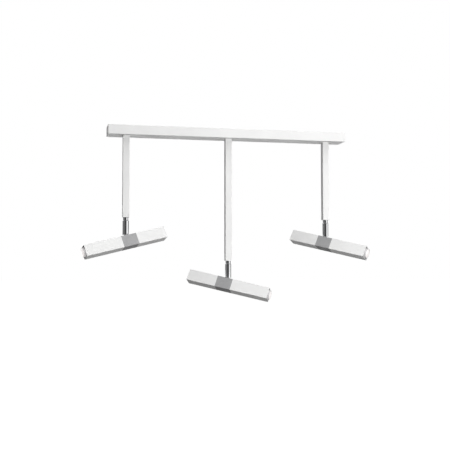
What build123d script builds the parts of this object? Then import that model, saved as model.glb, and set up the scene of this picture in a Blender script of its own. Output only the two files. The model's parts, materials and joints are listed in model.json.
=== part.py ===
from build123d import *
import math
import os
from types import SimpleNamespace

# Suspended ceiling light: a long flat rail on the ceiling, three square stems,
# and under each stem a chrome swivel that carries a square tube spotlight.
# Millimetres, +Z up.  Origin: middle of the rail's top face, on the ceiling.
# +X runs along the rail, -Y is the front.

# ---- driving dimensions --------------------------------------------------
rail_length = 950
rail_depth = 85
rail_height = 36
rail_sheet = 1.2
rail_corner = 2
cap_sheet = 2

bracket_sheet = 2
bracket_width = 40
bracket_gap = 0.4        # bracket to the inside of the rail, each side
ceiling_slot_spacing = 500
ceiling_slot_length = 16
ceiling_slot_width = 6
lug_x = 300
lug_width = 30
lug_drop = 16
lug_screw_radius = 1.9

driver_x = 200
driver_length = 150
terminal_x = -170
terminal_pitch = 10

stem_width = 25
stem_wall = 1.5
side_stem_x = 403
side_stem_length = 315
centre_stem_length = 480
plug_height = 14

head_width = 45
head_wall = 2
collar_length = 62
light_tube_length = 150
rear_tube_length = 118
spigot_reach = 16        # how far the collar's spigots enter each white tube
ring_diameter = 37.5
ring_rise = 5.5          # ring round the lens, beyond the end of the tube
ring_wall = 1.2
ring_lip = 1             # how far the ring's front lip reaches over the lens
lens_rise = 10           # crown of the lens beyond the end of the tube
bezel_recess = 4         # from the end of the tube in to the bezel's square plate
bezel_plate = 6          # thickness of the square plate that holds the ring and the lens
seat_depth = 3           # how deep the ring and the lens sit in the plate
cone_depth = 22          # from the plate's back to the light chip's board
board_thickness = 1.6

swivel_diameter = 25
neck_diameter = 21
neck_height = 12
pivot_drop = 63          # from the stem's foot down to the centre of the cross joint
pivot_lift = 11.5        # from the collar's top face up to that centre
rim_drop = 4             # from that centre down to the sleeve's lower rim
trunnion_radius = 1.5
ear_inside = 3.6         # cross joint centre to the inner face of an ear
ear_outside = 6.6
ear_half_width = 3
stud_radius = 4
stud_slot_length = 38
stud_slot_width = 8.4

thread_diameter = 10     # hollow M10 lamp thread, thread form left plain
wire_way = 6
running_gap = 0.05       # radial clearance of every turning fit
joint_gap = 0.15         # axial clearance between turning faces
seat_gap = 0.05          # clearance of parts that push into a tube
tube_corner = 1          # outer corner radius of the stems, tubes and collars
cut_over = 1             # how far a cut runs past the wall it opens

# How each spotlight stands: the way its light end points around the vertical,
# its dip below level, its lean about its own length, and where the collar's
# middle sits along the spotlight, measured from the swivel towards the light.
head_poses = {
    "left": SimpleNamespace(
        stem_x=-side_stem_x, stem=side_stem_length, turn=194.5, dip=13.4, lean=18.5, shift=-2),
    "centre": SimpleNamespace(
        stem_x=0, stem=centre_stem_length, turn=-28.5, dip=12.5, lean=-21.5, shift=-3),
    "right": SimpleNamespace(
        stem_x=side_stem_x, stem=side_stem_length, turn=-45.5, dip=12.5, lean=-21.5, shift=14),
}

# ---- derived places ------------------------------------------------------
rail_floor = -rail_height + rail_sheet
rail_inside_depth = rail_depth - 2 * rail_sheet
lug_screw_height = -lug_drop / 2 - 1
collar_end = collar_length / 2
light_end = collar_end + light_tube_length
rear_end = collar_end + rear_tube_length
head_inside = head_width - 2 * head_wall
stem_inside = stem_width - 2 * stem_wall
sleeve_bore = swivel_diameter - 5
roof_thickness = 5
spigot_radius = thread_diameter / 2 + 1
clip_groove = -neck_height - joint_gap - roof_thickness - joint_gap
clip_thickness = 1
groove_depth = 0.8
bezel_back = light_end - bezel_recess - bezel_plate
lens_back = light_end - bezel_recess - seat_depth
lens_radius = ring_diameter / 2 - ring_wall - seat_gap
board_front = bezel_back - cone_depth
screw_distance = collar_end + spigot_reach / 2
tube_screw_radius = 1.25
screw_head_radius = 3.1
os.makedirs("parts", exist_ok=True)


def write(piece, name):
    """Label one finished piece and write it under its own name."""
    piece.part.label = name
    export_step(piece.part, f"parts/{name}.step")


def stem_foot(pose):
    """Height of a stem's lower end."""
    return -rail_height - pose.stem


def stem_locations(height):
    """The same height under every stem."""
    return [(pose.stem_x, 0, height) for pose in head_poses.values()]


def foot_locations(offset=0):
    """Every stem's foot, or a place above it by offset."""
    return [(pose.stem_x, 0, stem_foot(pose) + offset) for pose in head_poses.values()]


def swivel_plane(pose):
    """Level plane through the cross joint, x pointing the way the light end is turned."""
    turn = math.radians(pose.turn)
    centre = (pose.stem_x, 0, stem_foot(pose) - pivot_drop)
    return Plane(origin=centre, x_dir=(math.cos(turn), math.sin(turn), 0), z_dir=(0, 0, 1))


def cross_plane(pose):
    """The swivel plane dipped about its own y axis, so x runs along the spotlight."""
    return Plane(swivel_plane(pose).location * Rotation(0, pose.dip, 0))


def fork_plane(pose):
    """The cross plane leaned about its x axis, so z is square to the collar's top."""
    return Plane(cross_plane(pose).location * Rotation(pose.lean, 0, 0))


def head_plane(pose):
    """Middle of the collar on the spotlight's long axis, x towards the light end."""
    down = -pivot_lift - head_width / 2
    return Plane(fork_plane(pose).location * Location((pose.shift, 0, down)))


def section_plane(pose, distance):
    """Cross-section of a spotlight at a distance from the collar's middle, facing the light."""
    head = head_plane(pose)
    centre = head.from_local_coords(Vector(distance, 0, 0))
    return Plane(origin=centre, x_dir=head.y_dir, z_dir=head.x_dir)


# ---- ceiling rail ----------------------------------------------------------
def rail_housing():
    """Folded sheet channel, open towards the ceiling, with a hole over each stem."""
    length = rail_length - 2 * cap_sheet
    nipple_hole = thread_diameter / 2 + 0.2
    screw_hole = lug_screw_radius + 0.2
    with BuildPart() as channel:
        with BuildSketch(Plane.YZ.offset(-length / 2)):
            with Locations((0, -rail_height / 2)):
                outer = Rectangle(rail_depth, rail_height)
            fillet(outer.vertices().group_by(Axis.Y)[0], rail_corner)
            with Locations((0, -rail_height / 2 + rail_sheet / 2)):
                Rectangle(rail_inside_depth, rail_height - rail_sheet, mode=Mode.SUBTRACT)
        extrude(amount=length)
        with Locations(*stem_locations(-rail_height)):
            Cylinder(nipple_hole, rail_height, mode=Mode.SUBTRACT)
        with Locations(*[(x, rail_depth / 2, lug_screw_height) for x in (-lug_x, lug_x)]):
            Cylinder(screw_hole, 4 * rail_sheet, rotation=(90, 0, 0), mode=Mode.SUBTRACT)
    write(channel, "rail_housing")


def end_caps():
    """Pressed caps over both ends of the channel, each with a lip that enters it."""
    lip_reach = 10
    lip_corner = 2.5
    edge_radius = 1.2
    with BuildPart() as caps:
        for side in (-1, 1):
            face = side * (rail_length / 2 - cap_sheet)
            with BuildSketch(Plane.YZ.offset(face)):
                with Locations((0, -rail_height / 2)):
                    plate = Rectangle(rail_depth, rail_height)
                fillet(plate.vertices().group_by(Axis.Y)[0], rail_corner)
            extrude(amount=side * cap_sheet)
            with BuildSketch(Plane.YZ.offset(face)):
                with Locations((0, -rail_height / 2 + rail_sheet)):
                    Rectangle(rail_inside_depth - 2 * seat_gap, rail_height - 2 * rail_sheet)
                    Rectangle(rail_inside_depth - 2 * lip_corner, rail_height, mode=Mode.SUBTRACT)
            extrude(amount=-side * lip_reach)
        for end in (0, -1):
            outer_edges = caps.edges().group_by(Axis.X)[end]
            fillet(outer_edges.filter_by(lambda edge: edge.center().Z < -1), edge_radius)
    write(caps, "end_caps")


def ceiling_bracket():
    """Strip screwed to the ceiling, with two cross tabs whose lugs hold the rail."""
    strip_length = rail_length - 70
    cable_hole = 10
    tab_length = rail_inside_depth - 2 * bracket_gap
    lug_offset = tab_length / 2 - bracket_sheet / 2
    screw_hole = lug_screw_radius + seat_gap
    with BuildPart() as bracket:
        with BuildSketch(Plane.XY.offset(-bracket_sheet)):
            Rectangle(strip_length, bracket_width)
            with Locations((-lug_x, 0), (lug_x, 0)):
                Rectangle(lug_width, tab_length)
            with Locations((-ceiling_slot_spacing / 2, 0), (ceiling_slot_spacing / 2, 0)):
                SlotOverall(ceiling_slot_length, ceiling_slot_width, mode=Mode.SUBTRACT)
            Circle(cable_hole, mode=Mode.SUBTRACT)
        extrude(amount=bracket_sheet)
        with BuildSketch(Plane.XY.offset(-bracket_sheet)):
            with GridLocations(2 * lug_x, 2 * lug_offset, 2, 2):
                Rectangle(lug_width, bracket_sheet)
        extrude(amount=-(lug_drop - bracket_sheet))
        with Locations(*[(x, lug_offset, lug_screw_height) for x in (-lug_x, lug_x)]):
            Cylinder(screw_hole, 2 * bracket_sheet, rotation=(90, 0, 0), mode=Mode.SUBTRACT)
    write(bracket, "ceiling_bracket")


def rail_screws():
    """Two pan-head screws that hold the rail's back wall to the bracket's lugs."""
    shank = 8
    head_height = 2.4
    cross_length = 4
    cross_width = 0.8
    with BuildPart() as screws:
        for x in (-lug_x, lug_x):
            back = Plane(origin=(x, rail_depth / 2, lug_screw_height), x_dir=(1, 0, 0), z_dir=(0, 1, 0))
            with BuildSketch(back):
                Circle(lug_screw_radius)
            extrude(amount=-shank)
            with BuildSketch(back):
                Circle(2 * lug_screw_radius)
            extrude(amount=head_height)
        heads = screws.edges().group_by(Axis.Y)[-1]
        fillet(heads, 1)
        with Locations(*[(x, rail_depth / 2 + head_height, lug_screw_height) for x in (-lug_x, lug_x)]):
            Box(cross_width, head_height, cross_length, mode=Mode.SUBTRACT)
            Box(cross_length, head_height, cross_width, mode=Mode.SUBTRACT)
    write(screws, "rail_screws")


def led_driver():
    """Supply for the three light modules: a flat case with two foot tabs."""
    width = 42
    height = 24
    corner = 4
    top_edge = 2
    foot_reach = 12
    foot_height = 3
    foot_corner = 3
    foot_hole = 2.2
    recess_bottom = 7
    recess_height = 10
    recess_width = 24
    recess_depth = 7
    with BuildPart() as driver:
        with BuildSketch(Plane.XY.offset(rail_floor)):
            with Locations((driver_x, 0)):
                RectangleRounded(driver_length, width, corner)
        extrude(amount=height)
        fillet(driver.edges().group_by(Axis.Z)[-1], top_edge)
        with BuildSketch(Plane.XY.offset(rail_floor)):
            with Locations((driver_x, 0)):
                RectangleRounded(driver_length + 2 * foot_reach, width / 2, foot_corner)
                with GridLocations(driver_length + foot_reach, 0, 2, 1):
                    Circle(foot_hole, mode=Mode.SUBTRACT)
        extrude(amount=foot_height)
        with BuildSketch(Plane.XY.offset(rail_floor + recess_bottom)):
            with Locations((driver_x, 0)):
                with GridLocations(driver_length, 0, 2, 1):
                    Rectangle(2 * recess_depth, recess_width)
        extrude(amount=recess_height, mode=Mode.SUBTRACT)
    write(driver, "led_driver")


def terminal_block():
    """Three-way mains terminal on the rail floor, screws in its top, wires in its ends."""
    length = 22
    height = 16
    corner = 1.5
    side_wall = 2
    ways = 3
    screw_pitch = 10
    screw_well = 2.2
    screw_depth = 6
    wire_hole = 2
    wire_height = 5
    with BuildPart() as block:
        with BuildSketch(Plane.XY.offset(rail_floor)):
            with Locations((terminal_x, 0)):
                RectangleRounded(length, ways * terminal_pitch + 2 * side_wall, corner)
        extrude(amount=height)
        with BuildSketch(Plane.XY.offset(rail_floor + height)):
            with Locations((terminal_x, 0)):
                with GridLocations(screw_pitch, terminal_pitch, 2, ways):
                    Circle(screw_well)
        extrude(amount=-screw_depth, mode=Mode.SUBTRACT)
        with BuildSketch(Plane.YZ.offset(terminal_x - length / 2)):
            with Locations((0, rail_floor + wire_height)):
                with GridLocations(terminal_pitch, 0, ways, 1):
                    Circle(wire_hole)
        extrude(amount=length, mode=Mode.SUBTRACT)
    write(block, "terminal_block")


def rail_wiring():
    """Leads from the terminal block to the driver, and from the driver to each stem."""
    lead_radius = 1.1
    in_block = terminal_x + 7
    past_block = in_block + 80
    in_driver_left = driver_x - driver_length / 2 + 3
    in_driver_right = driver_x + driver_length / 2 - 3
    past_driver = in_driver_right + 60
    low = rail_floor + 5
    high = rail_floor + 12
    by_left_stem = -side_stem_x + 14
    by_centre_stem = 14
    by_right_stem = side_stem_x - 14
    behind_stem = 20
    routes = [
        [(in_block, -terminal_pitch, low), (past_block, -14, high), (in_driver_left, -6, high)],
        [(in_block, terminal_pitch, low), (past_block, 16, high), (in_driver_left, 6, high)],
        [(in_driver_right, 0, high), (past_driver, 14, high), (by_right_stem, behind_stem, high)],
        [(in_driver_left, 0, high), (60, 4, high + 3), (by_centre_stem, 16, high)],
        [(in_driver_left, 9, high), (-120, 30, high), (by_left_stem, behind_stem, high)],
    ]
    with BuildPart() as wiring:
        for route in routes:
            with BuildLine():
                path = Spline(*route)
            with BuildSketch(Plane(origin=path @ 0, z_dir=path % 0)):
                Circle(lead_radius)
            sweep(path=path)
    write(wiring, "rail_wiring")


# ---- stems -----------------------------------------------------------------
def stem(pose, name):
    """Square tube between the rail's underside and the swivel's neck."""
    with BuildPart() as tube:
        with BuildSketch(Plane(origin=(pose.stem_x, 0, stem_foot(pose)))):
            RectangleRounded(stem_width, stem_width, tube_corner)
            Rectangle(stem_inside, stem_inside, mode=Mode.SUBTRACT)
        extrude(amount=pose.stem)
    write(tube, name)


def stem_plugs():
    """Threaded square plugs, one in the top and one in the foot of each stem."""
    tops = stem_locations(-rail_height - plug_height / 2)
    feet = foot_locations(plug_height / 2)
    size = stem_inside - 2 * seat_gap
    with BuildPart() as plugs:
        with Locations(*tops, *feet):
            Box(size, size, plug_height)
            Cylinder(thread_diameter / 2, plug_height, mode=Mode.SUBTRACT)
    write(plugs, "stem_plugs")


def stem_nipples():
    """Hollow threaded nipples that hold the stems to the rail."""
    above_floor = 9
    length = plug_height + rail_sheet + above_floor
    with BuildPart() as nipples:
        with Locations(*stem_locations(-rail_height - plug_height + length / 2)):
            Cylinder(thread_diameter / 2, length)
            Cylinder(wire_way / 2, length, mode=Mode.SUBTRACT)
    write(nipples, "stem_nipples")


def stem_nuts():
    """Hexagon nuts inside the rail, each with a toothed flange."""
    flange = 1.2
    flange_radius = 9
    teeth = 16
    tooth_size = 1.4
    tooth_turn = 20
    across_flats = 14
    nut_height = 4
    with BuildPart() as nuts:
        with BuildSketch(Plane.XY.offset(rail_floor)):
            with Locations(*[(pose.stem_x, 0) for pose in head_poses.values()]):
                Circle(flange_radius)
                with PolarLocations(flange_radius, teeth):
                    Rectangle(tooth_size, tooth_size, rotation=tooth_turn)
        extrude(amount=flange)
        with BuildSketch(Plane.XY.offset(rail_floor + flange)):
            with Locations(*[(pose.stem_x, 0) for pose in head_poses.values()]):
                RegularPolygon(across_flats / 2, 6, major_radius=False)
        extrude(amount=nut_height)
        with Locations(*stem_locations(rail_floor)):
            Cylinder(thread_diameter / 2, 4 * nut_height, mode=Mode.SUBTRACT)
    write(nuts, "stem_nuts")


# ---- swivels ---------------------------------------------------------------
def swivel_necks():
    """Turned chrome necks screwed into the stems' feet, with a spigot the sleeve turns on."""
    neck = neck_diameter / 2
    edge = 0.6
    thread = thread_diameter / 2
    thread_top = plug_height - 2
    spigot_end = clip_groove - 3
    groove_root = spigot_radius - groove_depth
    groove_end = clip_groove - clip_thickness - 2 * seat_gap
    with BuildPart() as necks:
        for x, _, foot in foot_locations():
            with BuildSketch(Plane(origin=(x, 0, foot), x_dir=(1, 0, 0), z_dir=(0, -1, 0))):
                with BuildLine():
                    Polyline(
                        (wire_way / 2, thread_top), (thread, thread_top), (thread, 0),
                        (neck - edge, 0), (neck, -edge), (neck, -neck_height + edge),
                        (neck - edge, -neck_height), (spigot_radius, -neck_height),
                        (spigot_radius, clip_groove), (groove_root, clip_groove),
                        (groove_root, groove_end), (spigot_radius, groove_end),
                        (spigot_radius, spigot_end), (wire_way / 2, spigot_end), close=True)
                make_face()
            revolve(axis=Axis((x, 0, 0), (0, 0, 1)))
    write(necks, "swivel_necks")


def spigot_clips():
    """Spring clips in the spigots' grooves that carry the sleeves."""
    clip_radius = 9
    mouth_width = 5
    with BuildPart() as clips:
        for x, _, foot in foot_locations():
            with BuildSketch(Plane.XY.offset(foot + clip_groove - seat_gap - clip_thickness)):
                with Locations((x, 0)):
                    Circle(clip_radius)
                    Circle(spigot_radius - groove_depth + seat_gap, mode=Mode.SUBTRACT)
                    with Locations((clip_radius / 2 + cut_over, 0)):
                        Rectangle(clip_radius + 2 * cut_over, mouth_width, mode=Mode.SUBTRACT)
            extrude(amount=clip_thickness)
    write(clips, "spigot_clips")


def swivel_sleeve(pose, name):
    """Chrome sleeve that turns on the spigot; the cross joint sits inside its mouth."""
    top = stem_foot(pose) - neck_height - joint_gap
    rim = stem_foot(pose) - pivot_drop - rim_drop
    shoulder = 1.5
    lower_edge = 0.6
    mouth_flare = 1
    with BuildPart() as sleeve:
        with BuildSketch(Plane.XY.offset(rim)):
            with Locations((pose.stem_x, 0)):
                Circle(swivel_diameter / 2)
        extrude(amount=top - rim)
        with BuildSketch(Plane.XY.offset(rim)):
            with Locations((pose.stem_x, 0)):
                Circle(sleeve_bore / 2)
        extrude(amount=top - roof_thickness - rim, mode=Mode.SUBTRACT)
        with BuildSketch(Plane.XY.offset(rim)):
            with Locations((pose.stem_x, 0)):
                Circle(spigot_radius + running_gap)
        extrude(amount=top - rim, mode=Mode.SUBTRACT)
        chamfer(sleeve.edges().group_by(Axis.Z)[-1].sort_by(SortBy.RADIUS)[-1], shoulder)
        chamfer(sleeve.edges().group_by(Axis.Z)[0].sort_by(SortBy.RADIUS)[-1], lower_edge)
        chamfer(sleeve.edges().group_by(Axis.Z)[0].sort_by(SortBy.RADIUS)[0], mouth_flare)
    write(sleeve, name)


def swivel_yoke(pose, name):
    """Disc pressed in the sleeve, whose two ears hold the cross from the sides."""
    bridge_low = 8
    bridge_high = 12
    middle = swivel_plane(pose)
    with BuildPart() as yoke:
        with BuildSketch(middle.offset(bridge_low)):
            Circle(sleeve_bore / 2)
            Circle(wire_way / 2, mode=Mode.SUBTRACT)
        extrude(amount=bridge_high - bridge_low)
        side = Plane(origin=middle.origin, x_dir=middle.x_dir, z_dir=-middle.y_dir)
        for across in (ear_inside, -ear_outside):
            with BuildSketch(side.offset(across)):
                Circle(ear_half_width)
                with Locations((0, bridge_low / 2)):
                    Rectangle(2 * ear_half_width, bridge_low)
                Circle(trunnion_radius + running_gap, mode=Mode.SUBTRACT)
            extrude(amount=ear_outside - ear_inside)
    write(yoke, name)


def joint_cross(pose, name):
    """Small block with four trunnions: two turn in the yoke, two carry the fork."""
    block_gap = 0.1
    trunnion_set_back = 0.2
    block_edge = 0.5
    block = 2 * (ear_inside - block_gap)
    span = 2 * (ear_outside - trunnion_set_back)
    with BuildPart(cross_plane(pose)) as cross:
        Box(block, block, block)
        chamfer(cross.edges(), block_edge)
        Cylinder(trunnion_radius, span, rotation=(0, 90, 0))
        Cylinder(trunnion_radius, span, rotation=(90, 0, 0))
    write(cross, name)


def head_fork(pose, name):
    """Fork that hangs on the cross; its foot stands on the collar and its stud goes through."""
    neck_top = -7.5
    foot_radius = 8
    foot_thickness = 1.8
    neck_corner = 0.5
    stud_past_walls = 9
    stud_end = -pivot_lift - 2 * head_wall - stud_past_walls
    fork = fork_plane(pose)
    with BuildPart() as part:
        for along in (ear_inside, -ear_outside):
            centre = fork.from_local_coords(Vector(along, 0, 0))
            with BuildSketch(Plane(origin=centre, x_dir=fork.y_dir, z_dir=fork.x_dir)):
                Circle(ear_half_width)
                with Locations((0, -pivot_lift / 2)):
                    Rectangle(2 * ear_half_width, pivot_lift)
                Circle(trunnion_radius + running_gap, mode=Mode.SUBTRACT)
            extrude(amount=ear_outside - ear_inside)
        with BuildSketch(fork.offset(neck_top)):
            RectangleRounded(2 * ear_outside, 2 * ear_half_width, neck_corner)
        extrude(amount=-(pivot_lift + neck_top))
        with BuildSketch(fork.offset(-pivot_lift)):
            Circle(foot_radius)
        extrude(amount=foot_thickness)
        with BuildSketch(fork.offset(-pivot_lift)):
            Circle(stud_radius)
        extrude(amount=stud_end + pivot_lift)
    write(part, name)


# ---- spotlights ------------------------------------------------------------
def collar(pose, name):
    """Satin square collar in the middle of a spotlight; its spigots carry both white tubes."""
    spigot = head_inside - 2 * seat_gap
    hollow = spigot - 2 * head_wall
    reach = collar_end + spigot_reach
    wall = (head_width - hollow) / 2
    top = head_plane(pose).offset(head_width / 2)
    with BuildPart() as piece:
        with BuildSketch(section_plane(pose, -reach)):
            Rectangle(spigot, spigot)
        extrude(amount=2 * reach)
        with BuildSketch(section_plane(pose, -collar_end)):
            RectangleRounded(head_width, head_width, tube_corner)
        extrude(amount=collar_length)
        with BuildSketch(section_plane(pose, -reach)):
            Rectangle(hollow, hollow)
        extrude(amount=2 * reach, mode=Mode.SUBTRACT)
        with BuildSketch(top):
            SlotOverall(stud_slot_length, stud_slot_width)
            with GridLocations(2 * screw_distance, 0, 2, 1):
                Circle(tube_screw_radius + seat_gap)
        extrude(amount=-wall - cut_over, mode=Mode.SUBTRACT)
    write(piece, name)


def stud_nut(pose, name):
    """Nut and broad washer that clamp the fork's stud inside the spotlight."""
    top = -pivot_lift - 2 * head_wall - seat_gap
    washer_radius = 9
    washer_thickness = 1.5
    across_flats = 13
    nut_height = 6
    fork = fork_plane(pose)
    with BuildPart() as nut:
        with BuildSketch(fork.offset(top)):
            Circle(washer_radius)
            Circle(stud_radius, mode=Mode.SUBTRACT)
        extrude(amount=-washer_thickness)
        with BuildSketch(fork.offset(top - washer_thickness)):
            RegularPolygon(across_flats / 2, 6, major_radius=False)
            Circle(stud_radius, mode=Mode.SUBTRACT)
        extrude(amount=-nut_height)
    write(nut, name)


def white_tube(pose, name, start, length, screw_at):
    """Square tube on one side of the collar, with one countersunk screw hole in its top."""
    top = head_plane(pose).offset(head_width / 2)
    clearance_hole = tube_screw_radius + 0.35
    sink_radius = screw_head_radius + 2 * seat_gap
    sink_depth = sink_radius - clearance_hole
    with BuildPart() as tube:
        with BuildSketch(section_plane(pose, start)):
            RectangleRounded(head_width, head_width, tube_corner)
            Rectangle(head_inside, head_inside, mode=Mode.SUBTRACT)
        extrude(amount=length)
        with BuildSketch(top):
            with Locations((screw_at, 0)):
                Circle(clearance_hole)
        extrude(amount=-head_wall - cut_over, mode=Mode.SUBTRACT)
        with BuildSketch(top):
            with Locations((screw_at, 0)):
                Circle(sink_radius)
        extrude(amount=-sink_depth, taper=45, mode=Mode.SUBTRACT)
    write(tube, name)


def tube_screws(pose, name):
    """Two countersunk screws that pin the white tubes to the collar's spigots."""
    top = head_plane(pose).offset(head_width / 2)
    shank_past_walls = 3
    shank = 2 * head_wall + shank_past_walls
    slot_length = 3.4
    slot_width = 0.6
    with BuildPart() as screws:
        for place in (-screw_distance, screw_distance):
            with BuildSketch(top):
                with Locations((place, 0)):
                    Circle(screw_head_radius)
            extrude(amount=-screw_head_radius / 2, taper=45)
            with BuildSketch(top):
                with Locations((place, 0)):
                    Circle(tube_screw_radius)
            extrude(amount=-shank)
            with BuildSketch(top):
                with Locations((place, 0)):
                    Rectangle(slot_length, slot_width)
            extrude(amount=-slot_width, mode=Mode.SUBTRACT)
    write(screws, name)


def rear_cap(pose, name):
    """Moulded cap that closes the rear tube, face set just inside the end."""
    inset = 0.8
    plate = 2.4
    tab_thickness = 1.6
    tab_reach = 8
    face_edge = 0.5
    vent_pitch = 7
    vent_length = 22
    vent_width = 2
    face = -rear_end + inset
    outside = head_inside - 2 * seat_gap
    lengthwise = Axis(head_plane(pose).origin, head_plane(pose).x_dir)
    with BuildPart() as cap:
        with BuildSketch(section_plane(pose, face)):
            Rectangle(outside, outside)
        extrude(amount=plate)
        chamfer(cap.faces().sort_by(lengthwise)[0].edges(), face_edge)
        with BuildSketch(section_plane(pose, face + plate)):
            Rectangle(outside, outside)
            Rectangle(outside - 2 * tab_thickness, outside - 2 * tab_thickness, mode=Mode.SUBTRACT)
            Rectangle(outside, outside / 2, mode=Mode.SUBTRACT)
        extrude(amount=tab_reach)
        with BuildSketch(section_plane(pose, face)):
            with GridLocations(0, vent_pitch, 1, 3):
                SlotOverall(vent_length, vent_width)
        extrude(amount=2 * plate, mode=Mode.SUBTRACT)
    write(cap, name)


def lens_bezel(pose, name):
    """Grey square tray in the end of the light tube: skirt, plate with the lens seat, light cone."""
    outside = head_inside - 2 * seat_gap
    ledge = 1.5
    mouth = lens_radius - ledge
    throat = 8
    wall = 1
    skirt_wall = 0.8
    skirt_set_back = 0.4
    head = head_plane(pose)
    start = head.from_local_coords(Vector(bezel_back, 0, 0))
    profile = Plane(origin=start, x_dir=head.x_dir, z_dir=-head.y_dir)
    with BuildPart() as bezel:
        with BuildSketch(section_plane(pose, bezel_back)):
            Rectangle(outside, outside)
            Circle(mouth, mode=Mode.SUBTRACT)
        extrude(amount=bezel_plate)
        with BuildSketch(section_plane(pose, bezel_back + bezel_plate)):
            Rectangle(outside, outside)
            Rectangle(outside - 2 * skirt_wall, outside - 2 * skirt_wall, mode=Mode.SUBTRACT)
        extrude(amount=bezel_recess - skirt_set_back)
        with BuildSketch(section_plane(pose, lens_back)):
            Circle(ring_diameter / 2 + seat_gap)
        extrude(amount=seat_depth, mode=Mode.SUBTRACT)
        with BuildSketch(profile):
            with BuildLine():
                Polyline(
                    (-cone_depth, throat), (-cone_depth, throat + wall),
                    (0, mouth + wall), (0, mouth), close=True)
            make_face()
        revolve(axis=Axis(start, head.x_dir))
    write(bezel, name)


def lens_ring(pose, name):
    """Frosted ring pressed into the plate, whose front lip holds the lens."""
    outer = ring_diameter / 2
    inner = outer - ring_wall
    length = seat_depth + bezel_recess + ring_rise
    head = head_plane(pose)
    start = head.from_local_coords(Vector(lens_back, 0, 0))
    profile = Plane(origin=start, x_dir=head.x_dir, z_dir=-head.y_dir)
    with BuildPart() as ring:
        with BuildSketch(profile):
            with BuildLine():
                Polyline(
                    (0, inner), (0, outer), (length - ring_wall / 2, outer),
                    (length, outer - ring_wall / 2), (length, inner - ring_lip),
                    (length - ring_wall, inner - ring_lip), (length - ring_wall, inner), close=True)
            make_face()
        revolve(axis=Axis(start, head.x_dir))
    write(ring, name)


def lens(pose, name):
    """Round lens: flat back, edge under the ring's lip, low crown proud of the ring."""
    edge = seat_depth + bezel_recess + ring_rise - ring_wall - seat_gap
    crown = seat_depth + bezel_recess + lens_rise
    window = lens_radius - ring_lip - seat_gap
    head = head_plane(pose)
    start = head.from_local_coords(Vector(lens_back, 0, 0))
    profile = Plane(origin=start, x_dir=head.x_dir, z_dir=-head.y_dir)
    with BuildPart() as piece:
        with BuildSketch(profile):
            with BuildLine():
                Polyline(
                    (crown, 0), (0, 0), (0, lens_radius), (edge, lens_radius),
                    (edge, window), (edge + ring_wall, window))
                TangentArc((crown, 0), (edge + ring_wall, window), tangent=(0, 1))
            make_face()
        revolve(axis=Axis(start, head.x_dir))
    write(piece, name)


def led_board(pose, name):
    """Square circuit board with the light chip in the middle of its front."""
    board_width = 34
    corner = 3
    chip_radius = 6.5
    chip_height = 1
    with BuildPart() as board:
        with BuildSketch(section_plane(pose, board_front - board_thickness)):
            RectangleRounded(board_width, board_width, corner)
        extrude(amount=board_thickness)
        with BuildSketch(section_plane(pose, board_front)):
            Circle(chip_radius)
        extrude(amount=chip_height)
    write(board, name)


def heat_sink(pose, name):
    """Finned block behind the board that fills the tube and spreads its heat."""
    base_front = board_front - board_thickness
    outside = head_inside - 2 * seat_gap
    base = 6
    fin_count = 9
    fin = 1.8
    fin_length = 34
    with BuildPart() as sink:
        with BuildSketch(section_plane(pose, base_front - base)):
            Rectangle(outside, outside)
        extrude(amount=base)
        with BuildSketch(section_plane(pose, base_front - base)):
            with GridLocations((outside - fin) / (fin_count - 1), 0, fin_count, 1):
                Rectangle(fin, outside)
        extrude(amount=-fin_length)
    write(sink, name)


# ---- build every piece -----------------------------------------------------
rail_housing()
end_caps()
ceiling_bracket()
rail_screws()
led_driver()
terminal_block()
rail_wiring()
stem_plugs()
stem_nipples()
stem_nuts()
swivel_necks()
spigot_clips()

for side, pose in head_poses.items():
    stem(pose, f"stem_{side}")
    swivel_sleeve(pose, f"swivel_sleeve_{side}")
    swivel_yoke(pose, f"swivel_yoke_{side}")
    joint_cross(pose, f"joint_cross_{side}")
    head_fork(pose, f"head_fork_{side}")
    collar(pose, f"collar_{side}")
    stud_nut(pose, f"stud_nut_{side}")
    white_tube(pose, f"light_tube_{side}", collar_end, light_tube_length, screw_distance)
    white_tube(pose, f"rear_tube_{side}", -rear_end, rear_tube_length, -screw_distance)
    tube_screws(pose, f"tube_screws_{side}")
    rear_cap(pose, f"rear_cap_{side}")
    lens_bezel(pose, f"lens_bezel_{side}")
    lens_ring(pose, f"lens_ring_{side}")
    lens(pose, f"lens_{side}")
    led_board(pose, f"led_board_{side}")
    heat_sink(pose, f"heat_sink_{side}")
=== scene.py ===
"""Looks of the suspended ceiling light: materials, floor, studio and camera."""

import json
import math

import bpy
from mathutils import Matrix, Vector


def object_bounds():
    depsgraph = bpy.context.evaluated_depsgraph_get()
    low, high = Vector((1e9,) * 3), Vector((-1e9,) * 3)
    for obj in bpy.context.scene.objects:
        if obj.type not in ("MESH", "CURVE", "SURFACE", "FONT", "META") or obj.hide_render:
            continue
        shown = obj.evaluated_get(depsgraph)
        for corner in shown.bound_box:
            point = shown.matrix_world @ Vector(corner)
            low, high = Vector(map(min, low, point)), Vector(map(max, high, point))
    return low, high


# Lengths are metres and angles degrees.  The object's frame: origin in the middle
# of the rail's top face, +X along the rail, -Y the front, +Z up to the ceiling.

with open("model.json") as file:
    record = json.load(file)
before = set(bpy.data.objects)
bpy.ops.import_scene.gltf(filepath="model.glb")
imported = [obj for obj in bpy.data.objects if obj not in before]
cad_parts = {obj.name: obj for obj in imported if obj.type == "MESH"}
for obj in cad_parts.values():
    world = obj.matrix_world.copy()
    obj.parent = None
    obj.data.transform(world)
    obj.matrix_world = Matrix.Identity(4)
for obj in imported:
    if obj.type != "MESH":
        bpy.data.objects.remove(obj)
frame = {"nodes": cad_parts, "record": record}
cad_low, cad_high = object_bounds()

# ---- camera ------------------------------------------------------------------
view_turn = 12.55            # the camera stands this far left of square on
view_rise = 3.04             # and looks this far upward
view_distance = 3.2965       # from the aim point to the camera
aim_side = -0.012
aim_drop = 0.3757            # aim point under the rail's top face
lens_mm = 66.96

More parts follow.
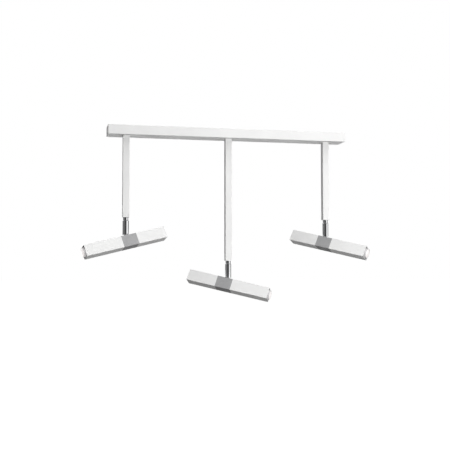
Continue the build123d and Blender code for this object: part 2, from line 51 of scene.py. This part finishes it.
# ---- studio --------------------------------------------------------------------
floor_drop = 0.30            # floor under the lowest point of the object
floor_reach = 30.0           # from its middle to each edge
floor_from_above = 0.62      # the floor's own brightness, seen steeply
floor_skin = 0.25            # how much light it adds to that for the camera
floor_bounce = 0.17          # how pale it is to everything but the camera
floor_far_level = 2.1        # brightness of the distant floor in flat reflections
backdrop_level = 1.0
ambient_above = 0.06
ambient_below = 0.03

# Bearing from the camera, positive to its right, and brightness in reflections.
reflected_studio = [
    (-180, 1.00), (-148, 1.00),               # backdrop behind the object
    (-140, 0.15), (-85, 0.18), (-45, 0.18),   # dim left side
    (-42, 0.00), (-11, 0.00),                 # black flag, just left of the camera
    (-8, 0.25), (24, 0.25),                   # grey front
    (28, 1.20), (68, 1.20),                   # broad bright panel
    (72, 0.15), (140, 0.15),                  # dim right side
    (148, 1.00), (180, 1.00),                 # backdrop again
]


# ---- node helpers ---------------------------------------------------------------
class Graph:
    """Adds nodes to one node tree and joins them in a single call each."""

    def __init__(self, tree):
        self.tree = tree

    def add(self, kind, inputs=None, **settings):
        """A node of this kind, with its settings and its inputs set or linked."""
        node = self.tree.nodes.new("ShaderNode" + kind)
        for name, value in settings.items():
            setattr(node, name, value)
        for key, value in (inputs or {}).items():
            socket = node.inputs[key]
            if isinstance(value, bpy.types.NodeSocket):
                self.tree.links.new(value, socket)
            else:
                socket.default_value = value
        return node

    def maths(self, operation, first, second):
        """One arithmetic step."""
        node = self.add("Math", {0: first, 1: second}, operation=operation)
        return node.outputs[0]

    def blend(self, share, first, second):
        """A colour between first (share 0) and second (share 1)."""
        # The Mix node has a pair of sockets for each data type: 6 and 7 are the colours.
        node = self.add("Mix", {0: share, 6: first, 7: second}, data_type="RGBA")
        return node.outputs[2]

    def span(self, value, low, high, out_low, out_high):
        """Value rescaled from low..high to out_low..out_high, and held there."""
        inputs = {0: value, 1: low, 2: high, 3: out_low, 4: out_high}
        return self.add("MapRange", inputs).outputs[0]

    def noise(self, where, scale, detail=2.0, roughness=0.5):
        """Cloudy noise, about 0.5 on average."""
        inputs = {"Vector": where, "Scale": scale, "Detail": detail, "Roughness": roughness}
        return self.add("TexNoise", inputs).outputs[0]

    def bump(self, height, depth, strength):
        """Surface relief of this depth."""
        inputs = {"Height": height, "Distance": depth, "Strength": strength}
        return self.add("Bump", inputs).outputs[0]


def colour(red, green, blue):
    """A colour with full cover."""
    return (red, green, blue, 1.0)


def grey(level):
    """A neutral grey."""
    return colour(level, level, level)


def empty_material(name):
    """A material without nodes, its graph and its surface coordinates.

    Its glow is seen, but isn't used as a lamp, so it adds no stray bright dots.
    """
    material = bpy.data.materials.new(name)
    material.use_nodes = True
    material.node_tree.nodes.clear()
    material.cycles.emission_sampling = "NONE"
    graph = Graph(material.node_tree)
    where = graph.add("TexCoord").outputs["Object"]
    return material, graph, where


def start_material(name):
    """The graph, the surface coordinates and the finish function of a new material."""
    material, graph, where = empty_material(name)

    def close(inputs):
        shader = graph.add("BsdfPrincipled", inputs)
        graph.add("OutputMaterial", {"Surface": shader.outputs[0]})
        return material

    return graph, where, close


# ---- materials ------------------------------------------------------------------
def white_paint():
    """Satin powder coat: fine orange peel, faint dust and a slightly uneven sheen."""
    graph, where, close = start_material("white_paint")
    cloud = graph.noise(where, 9.0, detail=4.0)
    speckle = graph.noise(where, 2400.0)
    peel = graph.noise(where, 520.0, detail=3.0)
    uneven = graph.span(cloud, 0.35, 0.65, 0, 1)
    dust = graph.span(speckle, 0.66, 0.74, 0, 0.25)
    tone = graph.blend(uneven, colour(0.86, 0.86, 0.855), colour(0.89, 0.89, 0.885))
    tone = graph.blend(dust, tone, colour(0.74, 0.74, 0.735))
    return close({
        "Base Color": tone,
        "Roughness": graph.span(cloud, 0.3, 0.7, 0.38, 0.50),
        "Coat Weight": 0.12,
        "Coat Roughness": 0.30,
        "Normal": graph.bump(peel, 0.00002, 0.4),
    })


def chrome():
    """Polished chrome with faint turning marks and finger haze."""
    graph, where, close = start_material("chrome")
    haze = graph.noise(where, 55.0, detail=5.0, roughness=0.6)
    height = graph.add("SeparateXYZ", {0: where}).outputs[2]
    marks = graph.noise(graph.add("CombineXYZ", {2: height}).outputs[0], 5200.0, detail=1.0)
    dulled = graph.span(haze, 0.4, 0.7, 0, 1)
    return close({
        "Base Color": graph.blend(dulled, colour(0.86, 0.865, 0.875), colour(0.78, 0.785, 0.80)),
        "Metallic": 1.0,
        "Roughness": graph.span(haze, 0.35, 0.7, 0.03, 0.08),
        "Normal": graph.bump(marks, 0.000002, 0.3),
    })


def satin_collar():
    """Bead-blasted metal: a soft grey sheen broken up by a fine mottle."""
    graph, where, close = start_material("satin_collar")
    mottle = graph.noise(where, 160.0, detail=5.0, roughness=0.65)
    grit = graph.noise(where, 1900.0)
    blotches = graph.span(mottle, 0.35, 0.65, 0, 1)
    return close({
        "Base Color": graph.blend(blotches, colour(0.39, 0.39, 0.395), colour(0.435, 0.435, 0.44)),
        "Metallic": 0.1,
        "Roughness": graph.span(mottle, 0.35, 0.65, 0.38, 0.5),
        "Normal": graph.bump(grit, 0.00002, 0.5),
    })


def frosted_ring():
    """Frosted plastic with a painted glow: an emission lightens the ring, standing in for the lens's
    light it would carry; slightly uneven.
    """
    graph, where, close = start_material("frosted_ring")
    cloud = graph.noise(where, 220.0, detail=4.0)
    grit = graph.noise(where, 2600.0)
    return close({
        "Base Color": graph.blend(cloud, colour(0.46, 0.46, 0.465), colour(0.54, 0.54, 0.545)),
        "Roughness": graph.span(cloud, 0.35, 0.65, 0.40, 0.52),
        # Painted light: the ring glows like a lamp, in place of the lens's light reaching it.
        "Emission Color": graph.blend(cloud, colour(0.92, 0.88, 0.88), colour(1.0, 0.97, 0.97)),
        "Emission Strength": 0.22,
        "Normal": graph.bump(grit, 0.00002, 0.5),
    })


def machined(name, light, dark, roughness, streak):
    """Bare or plated metal with drawing marks in one direction and dull patches."""
    graph, where, close = start_material(name)
    patches = graph.noise(where, 130.0, detail=4.0)
    stretched = graph.add("Mapping", {"Vector": where, "Scale": streak}).outputs[0]
    marks = graph.noise(stretched, 300.0, detail=3.0)
    return close({
        "Base Color": graph.blend(graph.span(patches, 0.35, 0.65, 0, 1), dark, light),
        "Metallic": 1.0,
        "Roughness": graph.span(patches, 0.35, 0.7, roughness, roughness + 0.16),
        "Normal": graph.bump(marks, 0.00001, 0.5),
    })


def turned_steel():
    return machined("turned_steel", colour(0.60, 0.61, 0.62), colour(0.50, 0.51, 0.52), 0.26, (1, 1, 12))


def zinc_screw():
    return machined("zinc_screw", colour(0.70, 0.71, 0.72), colour(0.56, 0.57, 0.60), 0.24, (1, 1, 8))


def spring_steel():
    return machined("spring_steel", colour(0.30, 0.30, 0.32), colour(0.20, 0.20, 0.22), 0.34, (8, 1, 1))


def aluminium():
    return machined("aluminium", colour(0.78, 0.79, 0.80), colour(0.68, 0.69, 0.70), 0.32, (1, 10, 10))


def galvanised_steel():
    """Zinc-dipped sheet: flat crystals of slightly different greys."""
    graph, where, close = start_material("galvanised_steel")
    crystals = graph.add("TexVoronoi", {"Vector": where, "Scale": 140.0})
    shade = graph.add("SeparateColor", {0: crystals.outputs["Color"]}).outputs[0]
    scratch = graph.noise(where, 700.0, detail=3.0)
    return close({
        "Base Color": graph.blend(shade, colour(0.56, 0.58, 0.60), colour(0.74, 0.76, 0.78)),
        "Metallic": 1.0,
        "Roughness": graph.span(shade, 0, 1, 0.30, 0.48),
        "Normal": graph.bump(scratch, 0.00001, 0.5),
    })


def moulded(name, light, dark, roughness, grain_size=900.0):
    """Moulded plastic with a fine grain and a little cloudiness."""
    graph, where, close = start_material(name)
    cloud = graph.noise(where, 40.0, detail=3.0)
    grain = graph.noise(where, grain_size, detail=2.0)
    return close({
        "Base Color": graph.blend(graph.span(cloud, 0.35, 0.65, 0, 1), dark, light),
        "Roughness": graph.span(grain, 0.3, 0.7, roughness, roughness + 0.14),
        "Normal": graph.bump(grain, 0.00004, 0.5),
    })


def white_plastic():
    return moulded("white_plastic", colour(0.86, 0.86, 0.85), colour(0.81, 0.81, 0.80), 0.46)


def grey_bezel():
    # Dark grey moulding: partly its own colour, partly painted shade that stands in for the shade inside
    # the tube's end around the lens.
    return moulded("grey_bezel", colour(0.32, 0.32, 0.325), colour(0.27, 0.27, 0.275), 0.5)


def driver_case():
    return moulded("driver_case", colour(0.84, 0.84, 0.82), colour(0.78, 0.78, 0.76), 0.5, 600.0)


def terminal_plastic():
    return moulded("terminal_plastic", colour(0.82, 0.82, 0.78), colour(0.74, 0.74, 0.70), 0.36)


def lead_insulation():
    return moulded("lead_insulation", colour(0.20, 0.23, 0.30), colour(0.15, 0.17, 0.23), 0.4, 1500.0)


def led_board():
    """White solder resist over faint tracks, slightly mottled."""
    graph, where, close = start_material("led_board")
    weave = graph.add("TexWave", {"Vector": where, "Scale": 260.0, "Distortion": 1.0}).outputs[1]
    cloud = graph.noise(where, 120.0, detail=3.0)
    uneven = graph.span(cloud, 0.35, 0.65, 0, 1)
    tracks = graph.span(weave, 0.4, 0.6, 0, 0.12)
    tone = graph.blend(uneven, colour(0.82, 0.83, 0.78), colour(0.88, 0.88, 0.85))
    return close({
        "Base Color": graph.blend(tracks, tone, colour(0.55, 0.60, 0.50)),
        "Roughness": graph.span(cloud, 0.3, 0.7, 0.28, 0.42),
        "Normal": graph.bump(weave, 0.00002, 0.4),
    })


def lens_diffuser():
    """Clear-coated lens lit from behind: a warm glow, dimmer facets and a darker limb."""
    graph, where, close = start_material("lens_diffuser")
    cells = graph.add("TexVoronoi", {"Vector": where, "Scale": 210.0}, feature="SMOOTH_F1").outputs[0]
    cloud = graph.noise(where, 120.0, detail=3.0)
    facing = graph.add("LayerWeight", {0: 0.5}).outputs[1]
    dimmer = graph.span(cloud, 0.42, 0.62, 0, 1)
    limb = graph.span(facing, 0.5, 1.0, 0, 1)
    glow = graph.blend(dimmer, colour(1.0, 0.965, 0.955), colour(0.90, 0.845, 0.83))
    glow = graph.blend(limb, glow, colour(0.86, 0.83, 0.83))
    return close({
        "Base Color": colour(0.30, 0.29, 0.29),
        "Roughness": graph.span(cells, 0.0, 0.6, 0.16, 0.3),
        "Coat Weight": 0.5,
        "Coat Roughness": 0.06,
        "Emission Color": glow,
        "Emission Strength": 0.78,
        "Normal": graph.bump(cells, 0.00025, 0.35),
    })


looks = {
    "white_paint": white_paint,
    "chrome": chrome,
    "satin_collar": satin_collar,
    "turned_steel": turned_steel,
    "galvanised_steel": galvanised_steel,
    "zinc_screw": zinc_screw,
    "spring_steel": spring_steel,
    "aluminium": aluminium,
    "white_plastic": white_plastic,
    "frosted_ring": frosted_ring,
    "grey_bezel": grey_bezel,
    "lens_diffuser": lens_diffuser,
    "led_board": led_board,
    "driver_case": driver_case,
    "terminal_plastic": terminal_plastic,
    "lead_insulation": lead_insulation,
}


def dress_cad_nodes():
    """Every CAD node gets the look of its material slot."""
    made = {}
    for subpart in frame["record"]["subparts"]:
        slot_name = subpart["material_slot"]
        if slot_name not in made:
            made[slot_name] = looks[slot_name]()
        piece = frame["nodes"][subpart["node"]]
        piece.data.materials.clear()
        piece.data.materials.append(made[slot_name])


# ---- studio ---------------------------------------------------------------------
def mirrored_studio(graph, direction):
    """What polished surfaces see in this direction, by its bearing from the camera."""
    turn = {"Vector": direction, "Angle": math.radians(-view_turn)}
    turned = graph.add("VectorRotate", turn, rotation_type="Z_AXIS").outputs[0]
    x, y, _ = graph.add("SeparateXYZ", {0: turned}).outputs
    bearing = graph.maths("ARCTAN2", x, graph.maths("MULTIPLY", y, -1.0))
    place = graph.span(bearing, -math.pi, math.pi, 0.0, 1.0)
    around = graph.add("ValToRGB", {0: place})
    stops = around.color_ramp.elements
    ready_made = len(stops)
    for number, (angle, level) in enumerate(reflected_studio):
        spot = (angle + 180) / 360
        if number < ready_made:
            stop = stops[number]
            stop.position = spot
        else:
            stop = stops.new(spot)
        stop.color = grey(level)
    return around.outputs[0]


def studio_world():
    """White backdrop for the camera, soft ambient light, and a studio for reflections."""
    world = bpy.data.worlds.new("studio")
    bpy.context.scene.world = world
    world.use_nodes = True
    world.node_tree.nodes.clear()
    graph = Graph(world.node_tree)
    direction = graph.add("TexCoord").outputs["Generated"]
    height = graph.add("SeparateXYZ", {0: direction}).outputs[2]
    level = graph.span(height, -1.0, 1.0, ambient_below, ambient_above)
    ambient = graph.add("Background", {0: grey(1), 1: level}).outputs[0]
    mirrored = graph.add("Background", {0: mirrored_studio(graph, direction), 1: 1.0}).outputs[0]
    backdrop = graph.add("Background", {0: grey(1), 1: backdrop_level}).outputs[0]
    ray = graph.add("LightPath").outputs
    seen = graph.add("MixShader", {0: ray["Is Glossy Ray"], 1: ambient, 2: mirrored}).outputs[0]
    seen = graph.add("MixShader", {0: ray["Is Camera Ray"], 1: seen, 2: backdrop}).outputs[0]
    graph.add("OutputWorld", {"Surface": seen})


def floor_look():
    """Pale to the camera, darker in bounced light, and clear from below."""
    steep_view = 0.35
    flat_view = 0.80
    reflection_starts = 0.70
    reflection_full = 0.84
    material, graph, where = empty_material("floor")
    cloud = graph.noise(where, 0.8, detail=4.0)
    # 0 where the floor is seen from straight above, 1 where it is seen edge-on
    flatness = graph.add("LayerWeight", {0: 0.5}).outputs[1]
    ray = graph.add("LightPath").outputs
    geometry = graph.add("NewGeometry").outputs

    own = graph.span(flatness, steep_view, flat_view, floor_from_above, 1.0)
    own = graph.maths("MULTIPLY", own, graph.span(cloud, 0.3, 0.7, 0.985, 1.0))
    glow = graph.add("Emission", {0: grey(1), 1: own}).outputs[0]
    skin = graph.add("BsdfDiffuse", {0: grey(floor_skin)}).outputs[0]
    pale = graph.add("AddShader", {0: glow, 1: skin}).outputs[0]

    # Flat reflections run far across the floor and see the studio beyond it.
    incoming = {0: geometry["Incoming"], "Scale": -1.0}
    outward = graph.add("VectorMath", incoming, operation="SCALE").outputs[0]
    far = graph.span(flatness, reflection_starts, reflection_full, 0.0, floor_far_level)
    far = graph.maths("MULTIPLY", far, ray["Is Glossy Ray"])
    distant = graph.add("Emission", {0: mirrored_studio(graph, outward), 1: far}).outputs[0]
    bounce = graph.add("BsdfDiffuse", {0: grey(floor_bounce)}).outputs[0]
    unseen = graph.add("AddShader", {0: distant, 1: bounce}).outputs[0]

    # From below, the object is seen through the floor.
    clear = graph.add("BsdfTransparent").outputs[0]
    upper = graph.add("MixShader", {0: ray["Is Camera Ray"], 1: unseen, 2: pale}).outputs[0]
    both = graph.add("MixShader", {0: geometry["Backfacing"], 1: upper, 2: clear}).outputs[0]
    graph.add("OutputMaterial", {"Surface": both})
    return material


def floor():
    """Plain pale floor: white where it fades into the backdrop, a little darker from above."""
    height = cad_low.z - floor_drop
    corners = [(-1, -1), (1, -1), (1, 1), (-1, 1)]
    mesh = bpy.data.meshes.new("floor")
    mesh.from_pydata([(x * floor_reach, y * floor_reach, height) for x, y in corners], [], [(0, 1, 2, 3)])
    mesh.materials.append(floor_look())
    piece = bpy.data.objects.new("floor", mesh)
    bpy.context.collection.objects.link(piece)


def soft_box(name, bearing, rise, distance, width, height, power):
    """A rectangular soft light aimed at the object's middle.

    The bearing is measured from the camera, positive to its right.
    """
    aim = (cad_low + cad_high) / 2
    side = math.radians(bearing - view_turn)
    climb = math.radians(rise)
    out = Vector((math.sin(side) * math.cos(climb), -math.cos(side) * math.cos(climb), math.sin(climb)))
    light = bpy.data.lights.new(name, "AREA")
    light.shape = "RECTANGLE"
    light.size = width
    light.size_y = height
    light.energy = power
    lamp = bpy.data.objects.new(name, light)
    lamp.location = aim + out * distance
    lamp.rotation_euler = (-out).to_track_quat("-Z", "Y").to_euler()
    lamp.visible_camera = False
    lamp.visible_glossy = False
    bpy.context.collection.objects.link(lamp)


def studio_lights():
    """Low, high and near panels to the right of the camera, one overhead and one behind."""
    soft_box("low_panel", bearing=16, rise=-14, distance=2.6, width=1.2, height=0.8, power=78)
    soft_box("high_panel", bearing=40, rise=45, distance=2.8, width=2.0, height=1.6, power=22)
    soft_box("near_panel", bearing=60, rise=0, distance=1.5, width=1.0, height=1.0, power=3.5)
    soft_box("top_panel", bearing=40, rise=78, distance=2.4, width=1.6, height=1.6, power=34)
    soft_box("back_panel", bearing=170, rise=25, distance=3.0, width=2.0, height=1.6, power=45)


def place_camera():
    """A camera at the stated distance and angles from the aim point."""
    turn = math.radians(view_turn)
    rise = math.radians(view_rise)
    look = Vector((math.sin(turn) * math.cos(rise), math.cos(turn) * math.cos(rise), math.sin(rise)))
    lens = bpy.data.cameras.new("camera")
    lens.lens = lens_mm
    camera = bpy.data.objects.new("camera", lens)
    camera.location = Vector((aim_side, 0, -aim_drop)) - look * view_distance
    camera.rotation_euler = look.to_track_quat("-Z", "Y").to_euler()
    bpy.context.collection.objects.link(camera)
    bpy.context.scene.camera = camera
    bpy.context.scene.view_settings.view_transform = "Standard"


# ---- build ----------------------------------------------------------------------
dress_cad_nodes()
studio_world()
floor()
studio_lights()
place_camera()
